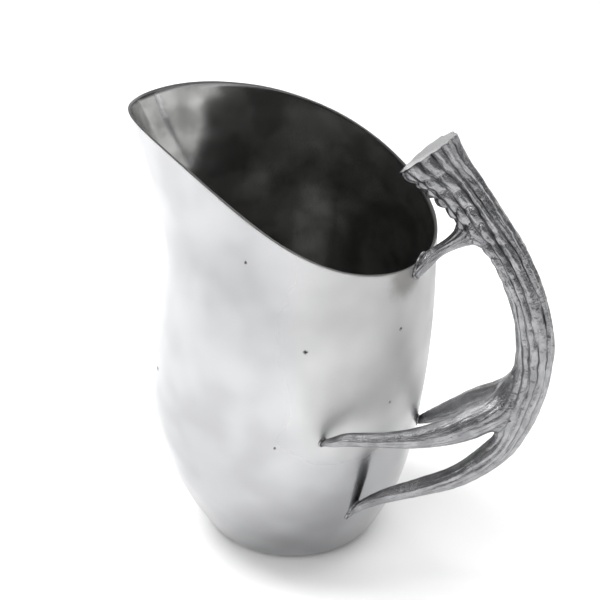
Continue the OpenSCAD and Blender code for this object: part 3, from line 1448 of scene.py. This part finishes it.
@dataclass
class AntlerHandle:
    """The handle: four swept branches made one, with blended forks, grooves and the burr's beads."""

    shape: AntlerShape
    sides: int = 48
    voxel: float = 0.6
    blend_reach: float = 17.0
    blend_turns: int = 120
    bite: float = 1.0
    # How far the painted shade reaches out from the wall low down; foot_shade is its reach higher up, above
    # foot_height.
    shade_reach: float = 22.0
    face_slant: float = 2.8
    face_reach: float = 7.0
    burr_reach: float = 22.0
    lump_scale: float = 0.23
    knob_scale: float = 0.42
    probe: float = 300.0
    foot_height: float = 66.0
    foot_fade: float = 16.0
    foot_shade: float = 5.0
    relief: AntlerRelief = AntlerRelief()

    def sweep_tree(self, material: bpy.types.Material) -> GeometryGraph:
        """Build the tree that sweeps an oval along each branch's route.

        Args:
            material: The finish.

        Returns:
            The tree.
        """
        graph = GeometryGraph("Tine sweep")
        sides = graph.input("Sides", self.sides, "NodeSocketInt")
        lines = graph.value("GeometryNodeMeshToCurve", {"Mesh": graph.geometry})
        lines = graph.store(lines, "spine", graph.position())
        ahead = graph.value("GeometryNodeInputTangent")
        plane = ahead.cross((0.0, 1.0, 0.0)).unit()
        lines = graph.store(lines, "plane", plane)
        lines = graph.store(lines, "side", ahead.cross(plane))
        ring = graph.value("GeometryNodeCurvePrimitiveCircle", {"Resolution": sides, "Radius": 1.0})
        inputs = {"Curve": lines, "Profile Curve": ring, "Fill Caps": True}
        tube = graph.value("GeometryNodeCurveToMesh", inputs)
        spine = graph.attribute("spine", "FLOAT_VECTOR")
        in_plane = graph.attribute("plane", "FLOAT_VECTOR")
        across = graph.attribute("side", "FLOAT_VECTOR")
        out = graph.position() - spine
        oval = in_plane * (out.dot(in_plane) * graph.attribute("thick") * MM)
        oval = oval + across * (out.dot(across) * graph.attribute("wide") * MM)
        graph.end(graph.place(tube, spine + oval), material)
        return graph

    def surface_tree(
        self, tubes: bpy.types.Object, wall: bpy.types.Object, material: bpy.types.Material
    ) -> GeometryGraph:
        """Build the tree that blends the forks and cuts the grooves.

        Args:
            tubes: The swept branches, which say where along and around each point lies.
            wall: The body that the tines run into.
            material: The finish.

        Returns:
            The tree.
        """
        graph = GeometryGraph("Antler surface")
        source = graph.input("Branches", tubes, "NodeSocketObject")
        reach = graph.input("Blend Reach", self.blend_reach)
        relief = AntlerRelief(**graph.sizes(self.relief))
        surface = graph.value("GeometryNodeObjectInfo", {"Object": source})
        branches = Value(graph, surface.socket.node.outputs["Geometry"])

        near_fork = None
        for place in self.fork_places():
            away = (graph.position() * (1 / MM) - tuple(place)).size()
            mask = smooth(1.6 - away / reach)
            near_fork = mask if near_fork is None else largest(near_fork, mask)
        body = graph.place(graph.geometry, graph.blur(graph.position(), 2))
        body = graph.place(body, graph.blur(graph.position(), self.blend_turns, near_fork))

        spine = graph.sample(branches, graph.attribute("spine", "FLOAT_VECTOR"))
        plane = graph.sample(branches, graph.attribute("plane", "FLOAT_VECTOR"))
        side = graph.sample(branches, graph.attribute("side", "FLOAT_VECTOR"))
        thick = graph.sample(branches, graph.attribute("thick"))
        wide = graph.sample(branches, graph.attribute("wide"))
        along = graph.sample(branches, graph.attribute("along"))
        depth = graph.sample(branches, graph.attribute("depth"))
        out = (graph.position() - spine) * (1 / MM)
        a = out.dot(plane) / thick
        b = out.dot(side) / wide
        share = Function.SQRT.of(a * a + b * b)
        body = graph.store(body, "along", along)
        body = graph.store(body, "share", share)
        body = graph.store(body, "across", b)
        body = graph.store(body, "depth", graph.blur(depth, 12))
        round_place = graph.vector(a / largest(share, 0.05), b / largest(share, 0.05), 0.0)
        body = graph.store(body, "round", round_place)
        body = graph.store(body, "radial", out.unit())

        along, share, depth = graph.attribute("along"), graph.attribute("share"), graph.attribute("depth")
        around, across = graph.attribute("round", "FLOAT_VECTOR"), graph.attribute("across")
        humps = relief.humps(along, around)
        at = graph.position() * (1 / MM)
        lump = graph.noise(at, self.lump_scale, detail=2.0, roughness=0.55) - 0.5
        knob = graph.noise(at, self.knob_scale, detail=1.0) - 0.5
        strong = least(depth * 0.5, 1.0)
        cut = (humps - 1.0) * depth + relief.grain(along, around) * mix(0.25, 0.35, strong)
        cut = cut + lump * mix(0.3, 0.7, strong) + knob * mix(0.1, 0.6, strong) - 0.2
        sawn = smooth((0.9 - along) * 2.0) * smooth((0.97 - share) * 30.0)
        near_burr = smooth((self.burr_reach - along) * 0.1)
        direction = mix(graph.normal(), graph.attribute("radial", "FLOAT_VECTOR"), near_burr).unit()
        out_share = least(share, 1.0)
        rim_only = out_share * out_share * out_share * out_share
        body = graph.store(body, "sawn", sawn)
        body = graph.store(body, "cut", cut * mix(1.0, rim_only, near_burr))
        body = graph.shift(body, direction * (graph.attribute("cut") - 0.1) * MM)
        near_face = smooth((self.face_reach - along) / self.face_reach)
        slant = least(largest(across, -0.3), 1.0) * near_face * self.face_slant
        body = graph.shift(body, side.cross(plane) * slant * MM)
        graph.end(self.tuck(graph, body, graph.input("Wall", wall, "NodeSocketObject")), material)
        return graph

    def tuck(self, graph: GeometryGraph, tines: Value, wall: Value) -> Value:
        """Keep the tines' ends inside the thickness of the wall, and mark the painted shade where the tines
        face it.

        Args:
            graph: The tree.
            tines: The antler's surface.
            wall: The body's object.

        Returns:
            The antler, with no tine through the wall, and its painted shade marked.
        """
        body = graph.node("GeometryNodeObjectInfo", {"Object": wall}).outputs["Geometry"]
        level = graph.position() * (1.0, 1.0, 0.0)
        way, height = level.unit(), graph.position() * (0.0, 0.0, 1.0)
        probe = self.probe * MM
        inputs = {"Source Position": way * probe + height, "Ray Direction": way * -1.0, "Ray Length": probe}
        ray = graph.node("GeometryNodeRaycast", {"Target Geometry": body, **inputs})
        skin = (Value(graph, ray.outputs["Hit Position"]) * (1.0, 1.0, 0.0)).size()
        struck = Value(graph, ray.outputs["Is Hit"])
        gap = (level.size() - skin) * (1 / MM)
        low = smooth((self.foot_height - graph.position().parts()[2] * (1 / MM)) / self.foot_fade)
        reach = mix(self.foot_shade, self.shade_reach, low)
        # Painted shade: sides that face the wall, close to it, are marked to be darkened.
        wall_shade = smooth(graph.normal().dot(way) * -2.0) * smooth((reach - gap) / reach)
        tines = graph.store(tines, "hidden", wall_shade * struck)
        return graph.shift(tines, way * (largest(gap * -1.0 - self.bite, 0.0) * struck * MM))

    def fork_places(self) -> list[np.ndarray]:
        """Find where branches leave the beam.

        Returns:
            The forks' places.
        """
        shape = self.shape
        crotch = shape.grip - [6.0, 3.0, 24.0]
        return [shape.brow_root - [5.0, 0.0, 6.0], shape.fork - [3.0, 0.0, 9.0], crotch]

    def build(self, wall: bpy.types.Object, material: bpy.types.Material) -> bpy.types.Object:
        """Make the handle and put it in place of its CAD solid.

        Args:
            wall: The body that the tines run into.
            material: The finish.

        Returns:
            The piece.
        """
        routes = line_object("antler routes", [tine.polyline() for tine in self.shape.tines().values()])
        tubes = self.sweep_tree(material).bake(routes, "antler tubes")
        remesh = tubes.modifiers.new("one casting", "REMESH")
        remesh.mode = "VOXEL"
        remesh.voxel_size = self.voxel * MM
        casting = baked(tubes, "antler casting")
        tubes.modifiers.remove(remesh)
        piece = self.surface_tree(tubes, wall, material).bake(casting, "cast_antler")
        for scratch in (routes, tubes, casting):
            drop(scratch)
        for name in ("share", "across", "radial", "cut"):
            piece.data.attributes.remove(piece.data.attributes[name])
        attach(piece, BODY)
        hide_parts("antler_handle")
        return piece


@dataclass
class FootWelds:
    """The dressed welds: a rippled bead round each tine's foot, along the line where it meets the wall."""

    shape: AntlerShape
    bead_radius: float = 0.38
    brow_bead_radius: float = 0.6
    ripple_pitch: float = 2.3
    ripple_share: float = 0.12
    steps: int = 40
    route_steps: int = 24
    foot_rows: int = 80
    line_points: int = 160
    ring_sides: int = 14

    def contact(self, tine: Tine) -> np.ndarray:
        """The closed line where a tine's skin goes into the wall.

        Args:
            tine: The branch.

        Returns:
            The line's points.
        """
        rows = tine.route(self.route_steps)[-self.foot_rows:]
        ahead = np.gradient(rows[:, :3], axis=0)
        ahead /= np.linalg.norm(ahead, axis=1)[:, None]
        plane = np.cross(ahead, [0.0, 1.0, 0.0])
        plane /= np.linalg.norm(plane, axis=1)[:, None]
        side = np.cross(ahead, plane)
        line = []
        for step in range(self.steps):
            turn = TURN * step / self.steps
            skin = rows[:, :3] + plane * math.cos(turn) * rows[:, 3:4]
            skin = skin + side * math.sin(turn) * rows[:, 4:5]
            away = self.shape.body.outside(skin)
            inside = np.nonzero(away < 0)[0]
            if len(inside) and inside[0] > 0:
                i = inside[0]
                share = away[i - 1] / (away[i - 1] - away[i])
                line.append(skin[i - 1] + (skin[i] - skin[i - 1]) * share)
            else:
                line.append(skin[-1])
        return np.array(line)

    def tree(self, radius: float, material: bpy.types.Material) -> GeometryGraph:
        """Build the tree that runs a rippled bead along a closed line.

        Args:
            radius: The bead's radius.
            material: The finish.

        Returns:
            The tree.
        """
        graph = GeometryGraph("Weld bead")
        bead = graph.input("Bead Radius", radius)
        pitch = graph.input("Ripple Pitch", self.ripple_pitch)
        share = graph.input("Ripple Share", self.ripple_share)
        line = graph.value("GeometryNodeMeshToCurve", {"Mesh": graph.geometry})
        line = graph.value("GeometryNodeResampleCurve", {"Curve": line, "Count": self.line_points})
        run = Value(graph, graph.node("GeometryNodeSplineParameter").outputs["Length"]) * (1 / MM)
        ripple = graph.noise(graph.vector(run / pitch, 0.0, 0.0), 1.0, detail=1.0) * 2.0 - 1.0
        line = graph.store(line, "hollow", smooth(0.4 - ripple))
        line = graph.value(
            "GeometryNodeSetCurveRadius",
            {"Curve": line, "Radius": bead * (1.0 + ripple * share) * MM},
        )
        ring = graph.value("GeometryNodeCurvePrimitiveCircle", {"Resolution": self.ring_sides, "Radius": 1.0})
        radius_now = graph.value("GeometryNodeInputRadius")
        tube = graph.value(
            "GeometryNodeCurveToMesh",
            {"Curve": line, "Profile Curve": ring, "Scale": radius_now},
        )
        graph.end(tube, material)
        return graph

    def build(self, material: bpy.types.Material) -> list[bpy.types.Object]:
        """Make the welds and put each in place of its CAD solid.

        Args:
            material: The finish.

        Returns:
            The pieces.
        """
        tines = self.shape.tines()
        feet = {
            "brow_weld": (TineName.BROW, self.brow_bead_radius),
            "front_weld": (TineName.FRONT, self.bead_radius),
            "rear_weld": (TineName.REAR, self.bead_radius),
            "lower_weld": (TineName.BEAM, self.bead_radius),
        }
        pieces = []
        for node, (tine, radius) in feet.items():
            line = line_object(node + " line", [Polyline(self.contact(tines[tine]), closed=True)])
            piece = self.tree(radius, material).bake(line, node + "_bead")
            drop(line)
            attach(piece, BODY)
            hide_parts(node)
            pieces.append(piece)
        return pieces


# ---------------------------------------------------------------------------------------------
# The studio
# ---------------------------------------------------------------------------------------------


class Lit(Enum):
    """What a soft panel lights."""

    FLOOR = "floor"
    ANTLER = "antler"


@dataclass(frozen=True)
class SoftBox:
    """One soft panel of light, by its direction, distance, size, power and what it lights."""

    name: str
    azimuth: float
    elevation: float
    distance: float
    width: float
    height: float
    power: float
    lit: Lit


@dataclass(frozen=True)
class Window:
    """A soft patch of light on the ceiling, seen only in the polished metal."""

    azimuth: float
    elevation: float
    radius: float
    level: float


@dataclass
class Studio:
    """A plain pale floor, soft light and the camera.

    Angles are in degrees, sizes and distances in millimetres, and a box's power in watts.
    """

    azimuth: float = 26.0
    elevation: float = 29.81
    distance: float = 1070.58
    aim_out: float = 3.8
    aim_height: float = 128.36
    lens: float = 130.585
    sensor: float = 36.0
    floor_size: float = 12000.0
    floor_colour: Colour = (0.9, 0.9, 0.9)
    ambient: float = 0.42
    ceiling: float = 0.018
    horizon: float = 0.8
    patches: float = 0.03
    patch_scale: float = 3.2
    horizon_rate: float = 7.0
    box_aim: float = 100.0
    windows: tuple[Window, ...] = (
        Window(166.0, 38.0, 24.0, 0.9),
        Window(72.0, 27.0, 20.0, 0.5),
        Window(-30.0, 48.0, 22.0, 0.3),
        Window(45.0, 60.0, 18.0, 0.25),
        Window(206.0, 30.0, 16.0, 0.4),
    )
    boxes: tuple[SoftBox, ...] = (
        SoftBox("key", -76.0, 64.0, 700.0, 420.0, 420.0, 6.6, Lit.FLOOR),
        SoftBox("overhead", -60.0, 74.0, 1500.0, 1900.0, 1900.0, 6.0, Lit.FLOOR),
        SoftBox("front", 10.0, 34.0, 1500.0, 1800.0, 1000.0, 12.5, Lit.FLOOR),
        SoftBox("right", 132.0, 58.0, 900.0, 600.0, 600.0, 5.0, Lit.FLOOR),
        SoftBox("glint", -10.0, 62.0, 1400.0, 380.0, 380.0, 7.0, Lit.ANTLER),
        SoftBox("edge", 146.0, 18.0, 1400.0, 1000.0, 800.0, 4.6, Lit.ANTLER),
        SoftBox("canopy", 206.0, 78.0, 1300.0, 1400.0, 1200.0, 16.0, Lit.ANTLER),
        SoftBox("behind", 206.0, 34.0, 1400.0, 800.0, 400.0, 4.0, Lit.ANTLER),
        SoftBox("strip", -133.0, 12.0, 1300.0, 900.0, 400.0, 0.6, Lit.ANTLER),
    )

    @staticmethod
    def direction(azimuth: float, elevation: float) -> Vector:
        """The way from the pitcher towards an azimuth and an elevation."""
        a, e = math.radians(azimuth), math.radians(elevation)
        return Vector((math.sin(a) * math.cos(e), -math.cos(a) * math.cos(e), math.sin(e)))

    def place(
        self, item: bpy.types.Object, azimuth: float, elevation: float, distance: float, aim: Vector
    ) -> None:
        """Stand an object off and turn it to the pitcher.

        Args:
            item: The camera or light.
            azimuth: Its azimuth in degrees.
            elevation: Its elevation in degrees.
            distance: Its distance in millimetres.
            aim: What it points at, in millimetres.
        """
        way = self.direction(azimuth, elevation)
        item.location = (aim + way * distance) * MM
        item.rotation_euler = way.to_track_quat("Z", "Y").to_euler()
        bpy.context.scene.collection.objects.link(item)

    def camera(self) -> None:
        """Set up the camera."""
        data = bpy.data.cameras.new("camera")
        data.lens, data.sensor_width = self.lens, self.sensor
        item = bpy.data.objects.new("camera", data)
        a = math.radians(self.azimuth)
        aim = Vector((self.aim_out * math.cos(a), self.aim_out * math.sin(a), self.aim_height))
        self.place(item, self.azimuth, self.elevation, self.distance, aim)
        bpy.context.scene.camera = item

    @staticmethod
    def screen(name: str, pieces: list[bpy.types.Object]) -> bpy.types.Collection:
        """Gather pieces that a light leaves out.

        Args:
            name: The collection's name.
            pieces: The pieces.

        Returns:
            A collection to set as a light's receivers.
        """
        group = bpy.data.collections.new(name)
        for piece in pieces:
            group.objects.link(piece)
        for entry in group.collection_objects:
            entry.light_linking.link_state = "EXCLUDE"
        return group

    def lights(self, pieces: list[bpy.types.Object], floor: bpy.types.Object) -> None:
        """Hang the soft boxes, screened off from the mirror-bright body.

        Args:
            pieces: The body, which sees the lit floor but not the lights, and then the rest.
            floor: The floor.
        """
        screens = {
            Lit.FLOOR: self.screen("pieces screened", pieces),
            Lit.ANTLER: self.screen("body and floor screened", [pieces[0], floor]),
        }
        aim = Vector((0.0, 0.0, self.box_aim))
        for box in self.boxes:
            data = bpy.data.lights.new(box.name, "AREA")
            data.shape = "RECTANGLE"
            data.size, data.size_y = box.width * MM, box.height * MM
            data.energy = box.power
            item = bpy.data.objects.new(box.name, data)
            item.visible_camera = False
            item.light_linking.receiver_collection = screens[box.lit]
            self.place(item, box.azimuth, box.elevation, box.distance, aim)

    def surroundings(self) -> None:
        """Fill the room: pale round the horizon and dark overhead."""
        world = bpy.data.worlds.new("room")
        bpy.context.scene.world = world
        world.use_nodes = True
        graph = Graph(world.node_tree)
        way = Value(graph, graph.node("ShaderNodeTexCoord").outputs["Generated"])
        height = way.parts()[2]
        glow = smooth(1.0 - height * self.horizon_rate) * self.horizon
        patch = graph.noise(way * (1.0, 1.0, 0.5), self.patch_scale, detail=1.0) * self.patches
        for window in self.windows:
            nearness = way.unit().dot(tuple(self.direction(window.azimuth, window.elevation)))
            spread = math.cos(math.radians(window.radius))
            patch = patch + smooth((nearness - spread) / (1.0 - spread)) * window.level
        mirrored = Value(graph, graph.node("ShaderNodeLightPath").outputs["Is Glossy Ray"])
        level = mix(self.ambient, self.ceiling + glow + patch, mirrored)
        background = world.node_tree.nodes["Background"]
        graph.feed(background.inputs["Color"], graph.vector(level, level, level))

    def floor(self) -> bpy.types.Object:
        """Lay the floor.

        Returns:
            The floor.
        """
        half = self.floor_size * MM / 2
        mesh = bpy.data.meshes.new("floor")
        ends = [(-half, -half, 0), (half, -half, 0), (half, half, 0), (-half, half, 0)]
        mesh.from_pydata(ends, [], [(0, 1, 2, 3)])
        item = bpy.data.objects.new("floor", mesh)
        bpy.context.scene.collection.objects.link(item)
        graph = ShaderGraph("floor")
        finish = graph.finish(Base_Color=self.floor_colour, Roughness=0.9, Specular_IOR_Level=0.1)
        mesh.materials.append(finish)
        return item

    def build(self, pieces: list[bpy.types.Object]) -> None:
        """Set up everything round the pitcher.

        Args:
            pieces: The body and then the rest.
        """
        bpy.context.scene.view_settings.view_transform = "Standard"
        self.camera()
        self.lights(pieces, self.floor())
        self.surroundings()


def main() -> None:
    """Build the studio and every piece, in order."""
    logging.basicConfig(level=logging.INFO, format="%(name)s: %(message)s")
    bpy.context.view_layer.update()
    effects = Effects()
    body_shape = BodyShape()
    antler_shape = AntlerShape(body_shape)
    pieces = [PitcherBody(body_shape).build(PolishedCasting().material(effects))]
    pieces.append(AntlerHandle(antler_shape).build(pieces[0], AntiquedCasting().material(effects)))
    pieces += FootWelds(antler_shape).build(DressedWeld().material(effects))
    Studio().build(pieces)
    for piece in pieces:
        LOG.info("%s: %d faces", piece.name, len(piece.data.polygons))


if __name__ == "__main__":
    main()
